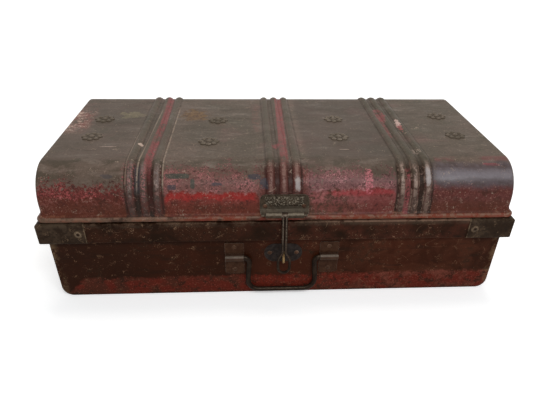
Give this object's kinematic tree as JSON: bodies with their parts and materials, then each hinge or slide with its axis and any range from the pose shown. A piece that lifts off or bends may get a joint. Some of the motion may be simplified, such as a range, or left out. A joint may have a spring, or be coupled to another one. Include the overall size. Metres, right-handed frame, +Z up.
{
  "type": "dome top trunk",
  "caption": "Low sheet-steel trunk with a rounded ribbed lid on back hinges, a hanging hasp arm over a staple, and a bail carrying handle on the front.",
  "frame": {"origin": "middle of the flat underside, on the surface the trunk stands on", "axes": "+X along the length to the viewer's right when facing the lock, front with hasp and handle faces -Y, +Z up"},
  "size_m": [0.7524, 0.4297, 0.23],
  "materials": {
    "lid_paint": "old red paint worn to brownish grey, scratched",
    "base_paint": "aged dark brown paint",
    "rim_paint": "aged very dark brown paint",
    "cap_paint": "aged dark brown paint, worn edges",
    "fitting_iron": "blackened forged steel, rubbed bright on edges",
    "staple_iron": "worn iron with a yellowish sheen",
    "rivet_iron": "dull, partly painted over",
    "rosette_tin": "pressed tin, paint worn off the petals",
    "wire": "plain drawn wire"
  },
  "bodies": {
    "base": {"base_wrap_sheet": "base_paint", "base_front_panel": "base_paint", "base_back_panel": "base_paint", "rim_front": "rim_paint", "rim_back": "rim_paint", "rim_left": "rim_paint", "rim_right": "rim_paint", "corner_cap_front_left": "cap_paint", "corner_cap_front_right": "cap_paint", "corner_cap_back_left": "cap_paint", "corner_cap_back_right": "cap_paint", "corner_cap_rivets": "rivet_iron", "staple_plate": "fitting_iron", "hasp_staple": "staple_iron", "handle_bracket_left": "fitting_iron", "handle_bracket_right": "fitting_iron", "base_hinge_leaf_left": "fitting_iron", "base_hinge_leaf_right": "fitting_iron", "base_rivets": "rivet_iron", "hinge_pin_left": "fitting_iron", "hinge_pin_right": "fitting_iron"},
    "lid": {"lid_dome_sheet": "lid_paint", "lid_end_left": "lid_paint", "lid_end_right": "lid_paint", "lid_edge_wire": "wire", "lid_rosettes": "rosette_tin", "hasp_plate": "fitting_iron", "hasp_pin": "fitting_iron", "lid_hinge_leaf_left": "fitting_iron", "lid_hinge_leaf_right": "fitting_iron", "lid_rivets": "rivet_iron"},
    "hasp": {"hasp_arm": "fitting_iron"},
    "handle": {"bail_handle": "fitting_iron"}
  },
  "joints": [
    {"name": "lid_hinge", "type": "hinge", "parent": "base", "child": "lid", "pos_m": [0, 0.20785, 0.1496], "axis": [-1, 0, 0], "range_deg": [0, 105]},
    {"name": "hasp_hinge", "type": "hinge", "parent": "lid", "child": "hasp", "pos_m": [0.005, -0.208, 0.1587], "axis": [-1, 0, 0], "range_deg": [-9, 150]},
    {"name": "handle_hinge", "type": "hinge", "parent": "base", "child": "handle", "pos_m": [0.003, -0.20098, 0.0755], "axis": [-1, 0, 0], "range_deg": [0, 150]}
  ]
}
